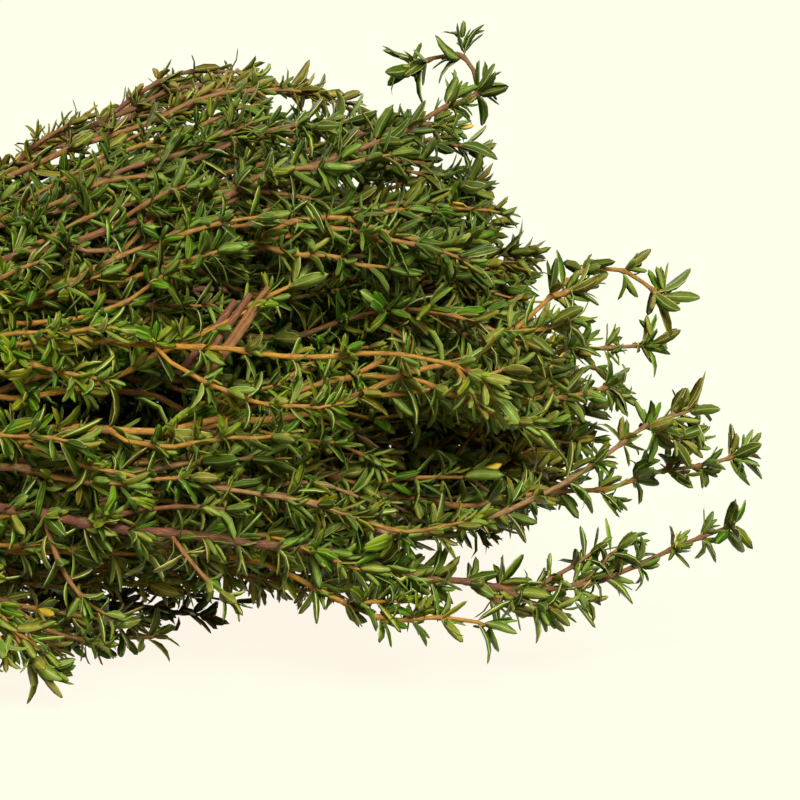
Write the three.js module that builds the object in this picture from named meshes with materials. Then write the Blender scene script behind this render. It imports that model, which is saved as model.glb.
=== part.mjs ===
// A bunch of fresh thyme lying on a table: long leafy sprigs that fan out from one rubber band.
// Millimetres. +X runs along the bunch from the cut stem ends to the leafy tips, +Z is up, and the
// bunch lies on z = 0. Each sprig is one closed solid: a bare woody stem that widens into the
// beaded outline of its leaf whorls and ends in a point.
import * as THREE from "three";
import { mergeVertices } from "three/addons/utils/BufferGeometryUtils.js";

// Stations along the bunch.
const CUT_END_X = -101;
const CUT_END_SCATTER = 5;
const TIE_X = -73;
const SHOULDER_X = -20;
const SHOULDER_SLANT_FROM_Z = 45;
const SHOULDER_SLANT = 0.53;
const TIP_X_LONGEST = 84;
const TIP_SCATTER = 16;
const LONGEST_ROW_Z = 30;

// How far the inner sprigs stray from their straight lanes.
const SWAY_ACROSS = 2.2;
const SWAY_UP = 0.9;
const TIP_DROOP = 2;

// The cross-section where the bunch is thickest: rows of sprigs within a round outline.
const SECTION_CENTRE_Y = 2;
const SECTION_CENTRE_Z = 43;
const SECTION_HALF_WIDTH = 36;
const SECTION_HALF_HEIGHT = 52;
const ROW_PITCH = 10.6;
const ROW_COUNT = 8;
const COLUMN_PITCH = 13.5;

// The band: how far it squeezes the inner rows, and the ring of outer sprigs about them there.
const TIE_SQUEEZE = 0.185;
const TIE_CENTRE_Y = -6;
const TIE_CENTRE_Z = 42;
const TIE_RING_RADIUS = 9.8;
const TIE_RING_FIRST_ANGLE = 232;
const TIE_RING_STEP_ANGLE = 12;
const TIE_HALF_LENGTH = 4;
const END_FLARE = 1.3;

// How the sprigs open between the band and the shoulder: share of the way, share of the width.
const FAN = [
  [1 / 3, 0.43],
  [2 / 3, 0.77],
];

// A sprig: woody base, thin tip, and the half-width of its leaf whorls.
const STEM_BASE_RADIUS = 0.75;
const STEM_TIP_RADIUS = 0.4;
const BARE_STEM_LENGTH = 58;
const INNER_WHORL_RADIUS = 4.3;
const OUTER_WHORL_RADIUS = 3.2;
const WHORL_SPACING = 15;
const WHORL_WAIST = 0.62;
const FIRST_WHORL_GROWTH = 0.4;
const TIP_TAPER_LENGTH = 16;
const SPRIG_SIDES = 6;

// The rubber band's own section.
const BAND_CLEARANCE = 0.5;
const BAND_THICKNESS = 1.4;
const BAND_WIDTH = 4;
const BAND_SIDES = 40;
const BAND_EDGE_ROUND = 0.4;

const LEAF_COLOURS = [0x47702a, 0x3a6324, 0x557c36, 0x628a45];
const leafMaterials = LEAF_COLOURS.map(
  (color) => new THREE.MeshStandardMaterial({ color, roughness: 0.5, metalness: 0 }),
);
const rubberMaterial = new THREE.MeshStandardMaterial({ color: 0xb98a52, roughness: 0.7, metalness: 0 });

// Sprigs of the outer layer, in their order round the band from low in front to the top of the
// back, each with the points that its stem passes between the band and its tip.
const OUTER_SPRIGS = {
  sprig_low_front: [[-31, -41, 19], [-25, -41, 15], [-17, -40, 12], [-9, -38, 9.5], [-3, -37, 8.8]],
  sprig_table_hook: [[-40, -42, 27], [-30, -48, 22], [-24, -50, 16], [-21, -51, 11], [-19, -51, 7], [-15, -51, 4.5], [-11, -51, 5]],
  sprig_ochre: [[-20, -46, 24.5], [8, -43, 24], [18, -44, 22], [25, -47, 18.5], [32, -49, 15.5], [42, -49, 14], [52, -47, 13]],
  sprig_woody: [[-20, -51.5, 32], [8, -52, 28.5], [23, -48, 25.5], [33, -45, 22.5], [43, -42, 19.5], [52, -40, 18], [60, -38, 17], [68, -37, 17.2], [74, -35, 18.5], [83, -33, 22.9], [91, -32, 25]],
  sprig_right_high: [[-20, -49.5, 38.5], [11, -49, 36], [22, -48, 33.8], [32, -47, 29.5], [39, -47.5, 27.5], [47, -46, 28.8], [55, -44, 30.7], [62, -41, 32.9], [68, -38, 36.5], [75, -35, 40.5], [80, -33, 43.7], [85, -31, 44.2]],
  sprig_right_reach: [[-20, -50, 44.5], [7, -51, 46], [19, -50, 47], [29, -49, 49.5], [40, -47, 53], [51, -44.5, 56.5], [57, -42, 60.5], [62, -40, 64], [68, -37, 67.6], [74, -35, 67], [79.5, -33, 63.5]],
  sprig_diagonal: [[-17, -50, 50.5], [-5, -47, 53.5], [5, -45.5, 57], [11, -45, 61], [17, -44, 64], [22, -43, 66.5]],
  sprig_level: [[-20, -50, 57], [0, -53, 59], [8, -54, 58], [36, -55, 57.5], [47, -53.5, 56], [51, -52, 53], [53, -50, 49]],
  sprig_upper_fan: [[-18, -46, 63.5], [-6, -45, 66.5], [4, -44.5, 69.8], [12, -43.5, 72], [26, -41, 73.5], [39, -37, 71.7], [49, -33, 68.2]],
  sprig_curl: [[-16, -43.5, 71.5], [-6, -43, 75], [6, -42, 78.3], [16, -41, 81.5], [23, -39.5, 83.5], [30, -37, 85.8], [36, -33, 87.6], [42, -30, 89.8], [48, -27, 93], [51, -25, 95.6], [50.5, -24, 98.3], [47, -23, 100.3], [43, -23, 100.1], [40, -23, 98]],
  sprig_upper_red: [[-16, -36.5, 77], [1, -34, 82.5], [12, -32, 86], [21, -30, 88], [28, -27, 89]],
  sprig_ridge: [[-15, -28, 80.5], [-1, -26, 85.3], [11, -24.5, 88.2], [23, -21, 89.8], [34, -17, 91.6]],
  sprig_top: [[-16, -21, 84.4], [-9, -18, 87.5], [2, -15, 91.1], [11, -12, 92.9], [27, -7, 93.2]],
  sprig_crest: [[-17, -12, 87.5], [-11, -9, 90.1], [-2, -7, 93.7], [4, -5, 95.8], [16, -1, 95.4]],
  sprig_top_back: [[-20, 5, 82.7], [-9, 7, 87.2], [3, 9, 91.5], [14, 11, 93.2], [26, 13, 91.3], [34, 15, 88.7]],
};

// Sprigs of the inner rows that go a way of their own, by row and column: the first two lie flat on
// the table, and the tips of the others leave the bunch.
const INNER_ROUTES = {
  "0,0": [[-14, -25, 3.6], [-6, -26.5, 3.7], [3, -28, 5.5]],
  "0,1": [[-8, -6, 3.6], [5, -7, 3.3], [18, -7, 2.2]],
  "2,0": [[14, -34, 24], [40, -32, 22]],
  "3,0": [[8, -37, 37], [22, -38, 35.5], [35, -36, 31.5], [50, -34, 28.7], [62, -31, 30.8], [78, -27, 31.9], [90, -23, 33.7], [94, -22, 35.1]],
  "4,1": [[20, -22, 46], [44, -26, 46], [60, -25, 45.5], [73, -22, 45]],
  "4,3": [[20, 3, 46], [52, 6, 45], [70, 8, 46.5], [81.5, 9, 48]],
  "7,0": [[14, -23, 80], [34, -18, 82], [48, -13, 78], [56, -11, 72]],
  "7,1": [[14, -8, 81.5], [34, -4, 84], [44, -3, 84], [52, -2, 82]],
};

// Tips of inner sprigs that end where their row's rule wouldn't have them, by row and column.
const INNER_TIPS = {
  "1,0": 38,
  "1,1": 38,
  "2,1": 58,
  "2,2": 59,
  "2,3": 61,
  "2,4": 65,
  "2,5": 66,
  "3,1": 62,
  "3,2": 70,
  "3,3": 68,
  "3,4": 71,
  "3,5": 70,
  "4,0": 65,
};

// A repeatable scatter in 0..1 from a whole number.
function scatter(seed) {
  const wave = Math.sin(seed * 12.9898 + 4.1) * 43758.5453;
  return wave - Math.floor(wave);
}

// The stem's way: from its cut end, straight through the band at (y, z) off the band's middle, and
// then along its own route.
function stemCurve(seed, [y, z], route) {
  const cutEndX = CUT_END_X + CUT_END_SCATTER * (2 * scatter(seed) - 1);
  const atTie = (x, flare) => new THREE.Vector3(x, TIE_CENTRE_Y + y * flare, TIE_CENTRE_Z + z * flare);
  const own = route.map((point) => new THREE.Vector3(...point));
  const leaving = atTie(TIE_X + TIE_HALF_LENGTH, 1);
  const fanned = FAN.map(([along, opened]) => {
    const point = leaving.clone().lerp(own[0], opened);
    point.x = THREE.MathUtils.lerp(leaving.x, own[0].x, along);
    return point;
  });
  const points = [atTie(cutEndX, END_FLARE), atTie(TIE_X - TIE_HALF_LENGTH, 1), leaving, ...fanned, ...own];
  return new THREE.CatmullRomCurve3(points, false, "centripetal");
}

// Stations along a stem of the given length, each with the radius of the sprig there: the bare
// stem first, then a wide and a narrow station for each whorl of leaves, then the tip.
function sprigStations(length, tieAt, whorlRadius) {
  const leafyLength = length - BARE_STEM_LENGTH - TIP_TAPER_LENGTH;
  const whorls = Math.max(1, Math.round(leafyLength / WHORL_SPACING));
  const spacing = leafyLength / whorls;
  const bare = [0, tieAt - TIE_HALF_LENGTH, tieAt + TIE_HALF_LENGTH, BARE_STEM_LENGTH];
  const stations = [[0, 0], ...bare.map((at) => [at, STEM_BASE_RADIUS])];
  for (let whorl = 0; whorl < whorls; whorl++) {
    const grown = Math.min(1, FIRST_WHORL_GROWTH * (whorl + 1));
    stations.push([BARE_STEM_LENGTH + spacing * (whorl + 0.5), whorlRadius * grown]);
    stations.push([BARE_STEM_LENGTH + spacing * (whorl + 1), whorlRadius * WHORL_WAIST * grown]);
  }
  stations.push([length - TIP_TAPER_LENGTH / 2, whorlRadius * WHORL_WAIST]);
  stations.push([length, STEM_TIP_RADIUS]);
  stations.push([length, 0]);
  return stations;
}

// Bends a lathe, turned about +Y from 0 to its length, along the curve. What would reach below the
// table is pressed flat on it.
function bendAlong(geometry, curve, length) {
  const position = geometry.attributes.position;
  const side = new THREE.Vector3(0, 1, 0);
  for (let i = 0; i < position.count; i++) {
    const share = Math.min(1, position.getY(i) / length);
    const forward = curve.getTangentAt(share);
    const up = new THREE.Vector3().crossVectors(forward, side).normalize();
    const across = new THREE.Vector3().crossVectors(forward, up);
    const point = curve
      .getPointAt(share)
      .addScaledVector(across, position.getX(i))
      .addScaledVector(up, position.getZ(i));
    position.setXYZ(i, point.x, point.y, Math.max(0, point.z));
  }
}

// A lathe's vertices meet at its seam and its poles once they are merged by position.
function closedByPosition(geometry) {
  geometry.deleteAttribute("normal");
  geometry.deleteAttribute("uv");
  const merged = mergeVertices(geometry, 1e-3);
  merged.computeVertexNormals();
  return merged;
}

function makeSprig(name, seed, tiePlace, route, whorlRadius) {
  const curve = stemCurve(seed, tiePlace, route);
  const length = curve.getLength();
  const tieAt = TIE_X - curve.getPointAt(0).x;
  const stations = sprigStations(length, tieAt, whorlRadius);
  const profile = stations.map(([at, radius]) => new THREE.Vector2(radius, at));
  const geometry = new THREE.LatheGeometry(profile, SPRIG_SIDES);
  bendAlong(geometry, curve, length);
  const sprig = new THREE.Mesh(closedByPosition(geometry), leafMaterials[seed % leafMaterials.length]);
  sprig.name = name;
  return sprig;
}

// Where the bunch is at its full height: the higher a sprig lies, the farther along.
function shoulderX(z) {
  return SHOULDER_X + SHOULDER_SLANT * Math.max(0, z - SHOULDER_SLANT_FROM_Z);
}

// The tip of an inner sprig: the lowest and the topmost rows are the shortest.
function innerTipX(z, seed) {
  const shortening = z > LONGEST_ROW_Z ? 0.72 : 1.3;
  return TIP_X_LONGEST - shortening * Math.abs(z - LONGEST_ROW_Z) - TIP_SCATTER * scatter(seed);
}

// Past the shoulder an inner sprig sways to one side, then back, and the high ones droop a little.
function innerRoute(y, z, tipX, seed) {
  const swayY = SWAY_ACROSS * (2 * scatter(seed + 0.3) - 1);
  const swayZ = SWAY_UP * (2 * scatter(seed + 0.6) - 1);
  const droop = z > SECTION_CENTRE_Z ? TIP_DROOP : 0;
  const lowest = INNER_WHORL_RADIUS;
  const wayTo = (share, sway, drop) => [
    THREE.MathUtils.lerp(shoulderX(z), tipX, share),
    y + swayY * sway,
    Math.max(lowest, z + swayZ * sway - drop),
  ];
  return [wayTo(0.35, 1, -1), wayTo(0.7, -1, 0), wayTo(1, 0.5, droop)];
}

// The rows of sprigs inside the bunch, from the table up, as wide as the section is at each height.
function innerSprigs() {
  const sprigs = [];
  for (let row = 0; row < ROW_COUNT; row++) {
    const z = INNER_WHORL_RADIUS + row * ROW_PITCH;
    const halfWidth = SECTION_HALF_WIDTH * Math.sqrt(1 - ((z - SECTION_CENTRE_Z) / SECTION_HALF_HEIGHT) ** 2);
    const columns = Math.floor((2 * halfWidth) / COLUMN_PITCH) + 1;
    for (let column = 0; column < columns; column++) {
      const offCentre = halfWidth * ((2 * column) / (columns - 1) - 1);
      const y = SECTION_CENTRE_Y + offCentre;
      const seed = sprigs.length + 1;
      const name = "sprig_" + String(seed).padStart(2, "0");
      const tiePlace = [offCentre * TIE_SQUEEZE, (z - SECTION_CENTRE_Z) * TIE_SQUEEZE];
      const place = row + "," + column;
      const tipX = INNER_TIPS[place] ?? innerTipX(z, seed);
      const tipWay = INNER_ROUTES[place] ?? innerRoute(y, z, tipX, seed);
      sprigs.push(makeSprig(name, seed, tiePlace, [[shoulderX(z), y, z], ...tipWay], INNER_WHORL_RADIUS));
    }
  }
  return sprigs;
}

function outerSprigs(firstSeed) {
  return Object.entries(OUTER_SPRIGS).map(([name, route], index) => {
    const angle = THREE.MathUtils.degToRad(TIE_RING_FIRST_ANGLE - index * TIE_RING_STEP_ANGLE);
    const tiePlace = [TIE_RING_RADIUS * Math.cos(angle), TIE_RING_RADIUS * Math.sin(angle)];
    return makeSprig(name, firstSeed + index, tiePlace, route, OUTER_WHORL_RADIUS);
  });
}

// The band: a lathe ring about the stems, just clear of the outermost of them.
function rubberBand() {
  const inner = TIE_RING_RADIUS + STEM_BASE_RADIUS + BAND_CLEARANCE;
  const outer = inner + BAND_THICKNESS;
  const half = BAND_WIDTH / 2;
  const corner = half - BAND_EDGE_ROUND;
  const outline = [
    [inner, -half],
    [outer - BAND_EDGE_ROUND, -half],
    [outer, -corner],
    [outer, corner],
    [outer - BAND_EDGE_ROUND, half],
    [inner, half],
    [inner, -half],
  ].map(([radius, along]) => new THREE.Vector2(radius, along));
  const band = new THREE.Mesh(closedByPosition(new THREE.LatheGeometry(outline, BAND_SIDES)), rubberMaterial);
  band.name = "rubber_band";
  band.position.set(TIE_X, TIE_CENTRE_Y, TIE_CENTRE_Z);
  band.rotation.z = -Math.PI / 2;
  return band;
}

// The origin is the middle of the underside of the bunch's bounding box.
function centredOnTable(group) {
  const box = new THREE.Box3().setFromObject(group);
  const centre = box.getCenter(new THREE.Vector3());
  group.position.set(-centre.x, -centre.y, -box.min.z);
  return group;
}

function makeThymeBundle() {
  const group = new THREE.Group();
  const inner = innerSprigs();
  group.add(...inner, ...outerSprigs(inner.length + 1), rubberBand());
  return centredOnTable(group);
}

export default makeThymeBundle();
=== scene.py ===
"""A bunch of fresh thyme on a pale table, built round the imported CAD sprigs.

Each CAD sprig is replaced by two pieces that follow its centreline: its stems (the main stem and its
side shoots) and its leaves (opposite pairs, the tufts in their axils and the tip rosettes).
"""

import math
from collections import namedtuple
from dataclasses import dataclass

import bpy
import numpy as np
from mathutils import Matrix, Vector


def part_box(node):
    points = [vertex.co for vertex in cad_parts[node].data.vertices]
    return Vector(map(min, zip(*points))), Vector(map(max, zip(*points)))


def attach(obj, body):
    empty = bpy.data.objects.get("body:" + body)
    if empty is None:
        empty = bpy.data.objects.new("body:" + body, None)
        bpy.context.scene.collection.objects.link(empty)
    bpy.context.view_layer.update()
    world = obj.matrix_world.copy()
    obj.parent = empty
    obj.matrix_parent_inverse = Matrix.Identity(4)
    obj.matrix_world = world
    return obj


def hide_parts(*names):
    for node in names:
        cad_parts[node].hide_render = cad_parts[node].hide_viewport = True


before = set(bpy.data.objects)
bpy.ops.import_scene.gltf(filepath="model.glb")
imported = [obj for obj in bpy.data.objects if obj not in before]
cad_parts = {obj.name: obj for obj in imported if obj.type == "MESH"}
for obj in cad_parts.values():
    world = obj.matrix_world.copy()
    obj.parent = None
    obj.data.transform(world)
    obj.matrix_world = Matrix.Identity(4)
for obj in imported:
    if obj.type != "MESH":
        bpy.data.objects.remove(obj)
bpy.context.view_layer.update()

MM = 0.001

# ---------------------------------------------------------------- the camera and the studio

CAMERA_AIM = (0.0440, 0.00715, 0.039)
CAMERA_DISTANCE = 0.5
CAMERA_ELEVATION = math.radians(12)
CAMERA_VIEW_WIDTH = 0.1359
SENSOR_WIDTH = 36.0

BACKGROUND = (0.99, 1.0, 0.85, 1)
# The floor lights the bunch as FLOOR_LIT. It is seen as FLOOR_GLOW, and FLOOR_SHADED under the lamps.
FLOOR_LIT = (0.22, 0.20, 0.15, 1)
FLOOR_GLOW = (0.985, 0.905, 0.79, 1)
FLOOR_SHADED = (0.01, 0.11, 0.055, 1)
FLOOR_SIZE = 4.0
WORLD_COLOUR = (1, 0.99, 0.97, 1)
WORLD_STRENGTH = 0.05
KEY_STRENGTH = 3.88
KEY_WIDTH = math.radians(28)
KEY_FROM = (0.25, -1.0, 0.9)
FILL_STRENGTH = 1.0
FILL_WIDTH = math.radians(70)
FILL_FROM = (-0.4, 1.0, 0.7)


def add_camera():
    data = bpy.data.cameras.new("camera")
    data.sensor_width = SENSOR_WIDTH
    data.lens = SENSOR_WIDTH * CAMERA_DISTANCE / CAMERA_VIEW_WIDTH
    camera = bpy.data.objects.new("camera", data)
    back = CAMERA_DISTANCE * math.cos(CAMERA_ELEVATION)
    up = CAMERA_DISTANCE * math.sin(CAMERA_ELEVATION)
    x, y, z = CAMERA_AIM
    camera.location = (x, y - back, z + up)
    camera.rotation_euler = (math.pi / 2 - CAMERA_ELEVATION, 0, 0)
    bpy.context.scene.collection.objects.link(camera)
    bpy.context.scene.camera = camera


def node_material(name):
    """A new material with an empty node tree, its tree, and its output node."""
    material = bpy.data.materials.new(name)
    material.use_nodes = True
    tree = material.node_tree
    tree.nodes.clear()
    return material, tree, tree.nodes.new("ShaderNodeOutputMaterial")


def seen_directly(tree):
    """1 for what the camera sees straight, in a mirror or through glass, and 0 for light on a surface."""
    path = tree.nodes.new("ShaderNodeLightPath")
    seen = path.outputs["Is Camera Ray"]
    for kind in ("Is Glossy Ray", "Is Transmission Ray"):
        either = tree.nodes.new("ShaderNodeMath")
        either.operation = "MAXIMUM"
        tree.links.new(seen, either.inputs[0])
        tree.links.new(path.outputs[kind], either.inputs[1])
        seen = either.outputs[0]
    return seen


def coloured(tree, kind, colour):
    """A new shader node of this kind and colour."""
    node = tree.nodes.new(kind)
    node.inputs["Color"].default_value = colour
    return node


def light_and_show(tree, output, lights, shows):
    """Makes the output light other things as one shader, and be seen as the other."""
    mix = tree.nodes.new("ShaderNodeMixShader")
    tree.links.new(seen_directly(tree), mix.inputs[0])
    tree.links.new(lights.outputs[0], mix.inputs[1])
    tree.links.new(shows.outputs[0], mix.inputs[2])
    tree.links.new(mix.outputs[0], output.inputs["Surface"])


def add_world():
    world = bpy.data.worlds.new("studio")
    world.use_nodes = True
    tree = world.node_tree
    tree.nodes.clear()
    light = coloured(tree, "ShaderNodeBackground", WORLD_COLOUR)
    light.inputs["Strength"].default_value = WORLD_STRENGTH
    shown = coloured(tree, "ShaderNodeBackground", BACKGROUND)
    light_and_show(tree, tree.nodes.new("ShaderNodeOutputWorld"), light, shown)
    bpy.context.scene.world = world


def floor_material():
    """The colour of the backdrop, with the bunch's faint warm shadow on it."""
    material, tree, output = node_material("pale_table")
    lit = coloured(tree, "ShaderNodeBsdfDiffuse", FLOOR_LIT)
    glow = coloured(tree, "ShaderNodeEmission", FLOOR_GLOW)
    shaded = coloured(tree, "ShaderNodeBsdfDiffuse", FLOOR_SHADED)
    shown = tree.nodes.new("ShaderNodeAddShader")
    tree.links.new(glow.outputs[0], shown.inputs[0])
    tree.links.new(shaded.outputs[0], shown.inputs[1])
    light_and_show(tree, output, lit, shown)
    return material


def add_floor():
    half = FLOOR_SIZE / 2
    mesh = bpy.data.meshes.new("floor")
    corners = [(-half, -half, 0), (half, -half, 0), (half, half, 0), (-half, half, 0)]
    mesh.from_pydata(corners, [], [(0, 1, 2, 3)])
    mesh.materials.append(floor_material())
    floor = bpy.data.objects.new("floor", mesh)
    bpy.context.scene.collection.objects.link(floor)


def add_lamp(name, origin, strength, width):
    """A broad soft lamp that lights everything evenly from the way of origin."""
    data = bpy.data.lights.new(name, "SUN")
    data.energy = strength
    data.angle = width
    light = bpy.data.objects.new(name, data)
    x, y, z = origin
    light.location = origin
    light.rotation_euler = (math.atan2(math.hypot(x, y), z), 0, math.atan2(y, x) + math.pi / 2)
    bpy.context.scene.collection.objects.link(light)


# ---------------------------------------------------------------- centrelines from the CAD sprigs

MERGED_WITHIN = 0.005 * MM  # vertices of a CAD mesh this close are one
CUT_END_DEPTH = 0.4 * MM
CLOSEST_POINTS = 0.05 * MM
PATH_STEP = 1.0 * MM
FEWEST_POINTS = 4
FRAME_START = (0.0, 0.2, 1.0)  # nearly upright, for the frame at a path's start
SMALLEST_LENGTH = 1e-12


def unit(vectors):
    lengths = np.linalg.norm(vectors, axis=-1, keepdims=True)
    return vectors / np.maximum(lengths, SMALLEST_LENGTH)


def arc_lengths(points):
    """How far each point is along the line through them all."""
    return np.r_[0, np.cumsum(np.linalg.norm(np.diff(points, axis=0), axis=1))]


def sampled(at, arc, values):
    """The vectors that values, known at the arc lengths arc, have at the arc lengths at."""
    return np.stack([np.interp(at, arc, values[:, k]) for k in range(3)], axis=-1)


def merged_mesh(node):
    """The places of a CAD node's vertices, once each, and the edges between them."""
    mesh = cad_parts[node].data
    co = np.zeros(len(mesh.vertices) * 3)
    mesh.vertices.foreach_get("co", co)
    co = co.reshape(-1, 3)
    merged = np.unique(np.round(co / MERGED_WITHIN), axis=0, return_inverse=True)[1].reshape(-1)
    place = np.zeros((merged.max() + 1, 3))
    place[merged] = co
    edges = np.zeros(len(mesh.edges) * 2, int)
    mesh.edges.foreach_get("vertices", edges)
    return place, merged[edges.reshape(-1, 2)]


def ring_centres(node):
    """The middle of each ring of a CAD sprig's mesh, from its cut end to its tip.

    Rings are found by walking outwards over the mesh's edges from the cut end's middle."""
    place, edges = merged_mesh(node)
    cut_end = np.flatnonzero(place[:, 0] < place[:, 0].min() + CUT_END_DEPTH)
    middle = place[cut_end].mean(0)
    start = cut_end[np.argmin(np.linalg.norm(place[cut_end] - middle, axis=1))]
    reached = np.full(len(place), -1)
    reached[start] = 0
    centres = []
    while True:
        level = len(centres)
        touching = np.concatenate([
            edges[reached[edges[:, 0]] == level, 1],
            edges[reached[edges[:, 1]] == level, 0],
        ])
        ring = np.unique(touching[reached[touching] < 0])
        if len(ring) == 0:
            return np.array(centres)
        reached[ring] = level + 1
        centres.append(place[ring].mean(0))


class Path:
    """A smooth line through points, walked by arc length, with a frame that doesn't twist.

    Where it runs along the bunch, its frame's ways off it are to the front and down."""

    def __init__(self, points):
        points = np.asarray(points, float)
        apart = np.linalg.norm(np.diff(points, axis=0), axis=1) > CLOSEST_POINTS
        fine = self.smoothed(points[np.r_[True, apart]])
        arc = arc_lengths(fine)
        self.length = arc[-1]
        self.at = np.linspace(0, self.length, max(FEWEST_POINTS, int(self.length / PATH_STEP) + 1))
        self.points = sampled(self.at, arc, fine)
        self.tangents = unit(np.gradient(self.points, axis=0))
        self.fronts = np.zeros_like(self.points)
        front = unit(np.cross(self.tangents[0], FRAME_START))
        for i, tangent in enumerate(self.tangents):
            front = unit(front - tangent * np.dot(front, tangent))
            self.fronts[i] = front

    @staticmethod
    def smoothed(points, per_span=8):
        """A Catmull-Rom line through the points."""
        ends = np.vstack([2 * points[0] - points[1], points, 2 * points[-1] - points[-2]])
        share = np.linspace(0, 1, per_span, endpoint=False)[:, None]
        spans = []
        for a, b, c, d in zip(ends, ends[1:], ends[2:], ends[3:]):
            spans.append(0.5 * (
                2 * b
                + (c - a) * share
                + (2 * a - 5 * b + 4 * c - d) * share**2
                + (3 * b - a - 3 * c + d) * share**3
            ))
        return np.vstack([*spans, points[-1:]])

    def frame_at(self, at):
        """Point, tangent, front and down at these arc lengths."""
        tangent = unit(sampled(at, self.at, self.tangents))
        front = sampled(at, self.at, self.fronts)
        front = unit(front - tangent * np.sum(front * tangent, axis=-1, keepdims=True))
        return sampled(at, self.at, self.points), tangent, front, np.cross(tangent, front)


# ---------------------------------------------------------------- meshes made of many small parts

TABLE_SOFTNESS = 1.3 * MM  # the height below which things begin to bend along the table
# The kind of attribute that holds so many values at each vertex, and the name of its values.
ATTRIBUTE_KINDS = {3: ("FLOAT_VECTOR", "vector"), 4: ("FLOAT_COLOR", "color")}


def rested_on_table(points):
    """Bends what would reach below the table flat along it."""
    low = points[..., 2] < TABLE_SOFTNESS
    sunk = TABLE_SOFTNESS * np.exp((points[..., 2] - TABLE_SOFTNESS) / TABLE_SOFTNESS)
    points[..., 2] = np.where(low, sunk, points[..., 2])
    return points


class MeshParts:
    """Gathers vertices, faces and per-vertex values, and makes one smooth mesh object of them."""

    def __init__(self, **value_sizes):
        self.vertices = []
        self.quads = []
        self.triangles = []
        self.values = {name: [] for name in value_sizes}
        self.value_sizes = value_sizes
        self.count = 0

    def add(self, vertices, quads, triangles, **values):
        self.vertices.append(vertices)
        self.quads.append(quads + self.count)
        self.triangles.append(triangles + self.count)
        for name, value in values.items():
            self.values[name].append(value)
        self.count += len(vertices)

    def build(self, name, material):
        vertices = rested_on_table(np.vstack(self.vertices))
        quads = np.vstack(self.quads)
        triangles = np.vstack(self.triangles)
        corners = np.concatenate([quads.ravel(), triangles.ravel()])
        sizes = np.concatenate([np.full(len(quads), 4), np.full(len(triangles), 3)])
        mesh = bpy.data.meshes.new(name)
        mesh.vertices.add(len(vertices))
        mesh.vertices.foreach_set("co", vertices.ravel())
        mesh.loops.add(len(corners))
        mesh.loops.foreach_set("vertex_index", corners.astype(np.int32))
        mesh.polygons.add(len(sizes))
        mesh.polygons.foreach_set("loop_start", np.r_[0, np.cumsum(sizes)[:-1]].astype(np.int32))
        mesh.update(calc_edges=True)
        mesh.shade_smooth()
        for value_name, size in self.value_sizes.items():
            kind, key = ATTRIBUTE_KINDS[size]
            attribute = mesh.attributes.new(value_name, kind, "POINT")
            values = np.vstack(self.values[value_name]).astype(np.float32)
            attribute.data.foreach_set(key, values.ravel())
        mesh.materials.append(material)
        piece = bpy.data.objects.new(name, mesh)
        bpy.context.scene.collection.objects.link(piece)
        return piece


# ---------------------------------------------------------------- stems

STEM_RING_STEP = 4.0 * MM
CLOSEST_RINGS = 0.15 * MM
NODE_SWELLING = 0.17 * MM
NODE_SWELLING_REACH = 0.6 * MM
NODE_RINGS = (-1.3, 0, 1.3)  # where a node's rings are, in reaches of its swelling
TAPER = 1.4  # above 1, a stem thins mostly towards its tip
FAR_OFF = -1.0  # stands in for the nearest node where a stem has none

# A stem's colour: bark from 0, ochre, to 1, red-brown; how green its start and its tip are; and the
# stem's own share of two browns.
Tone = namedtuple("Tone", "bark young scatter")


def stem_ring_places(length, nodes):
    """Arc lengths of a stem's rings: even steps, and three at each swollen node."""
    even = np.arange(0, length, STEM_RING_STEP)
    beside = [nodes + offset * NODE_SWELLING_REACH for offset in NODE_RINGS]
    places = np.sort(np.concatenate([even, *beside, [length]]))
    places = places[(places >= 0) & (places <= length)]
    keep = np.r_[True, np.diff(places) > CLOSEST_RINGS]
    return places[keep]


def tube_rings(point, first, second, radius, sides):
    """A ring of vertices round each point, from its first way towards its second, and their angles."""
    angle = np.linspace(0, 2 * math.pi, sides, endpoint=False)
    around = first[:, None] * np.cos(angle)[:, None] + second[:, None] * np.sin(angle)[:, None]
    return point[:, None] + around * radius[:, None, None], angle


def tube_quads(rings, sides, closed=False):
    """The faces between a tube's rings, and from its last ring to its first if it is closed."""
    ring = np.arange(rings if closed else rings - 1)[:, None] * sides
    next_ring = (ring + sides) % (rings * sides)
    corner = np.arange(sides)
    next_corner = (corner + 1) % sides
    quads = [ring + corner, ring + next_corner, next_ring + next_corner, next_ring + corner]
    return np.stack(quads, axis=-1).reshape(-1, 4)


def stem_values(at, length, swelling, angle, tone, cut_start, cut_tip):
    """What the bark's material reads at each vertex: first the rings', then the two ends'."""
    sides = len(angle)
    count = len(at) * sides
    first, last = count, count + 1
    fibre = np.zeros((count + 2, 4))
    fibre[:count, 0] = np.tile(np.cos(angle), len(at))
    fibre[:count, 1] = np.tile(np.sin(angle), len(at))
    fibre[:count, 2] = np.repeat(at / MM, sides)
    fibre[:count, 3] = np.repeat(swelling, sides)
    fibre[last, 2] = length / MM
    young_start, young_tip = tone.young
    shade = np.zeros((count + 2, 4))
    shade[:, 0] = tone.bark
    shade[:count, 1] = np.repeat(young_start + (young_tip - young_start) * at / length, sides)
    shade[last, 1] = young_tip
    shade[first, 2] = float(cut_start)
    shade[last, 2] = float(cut_tip)
    shade[:, 3] = tone.scatter
    return {"fibre": fibre, "bark_tone": shade}


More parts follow.
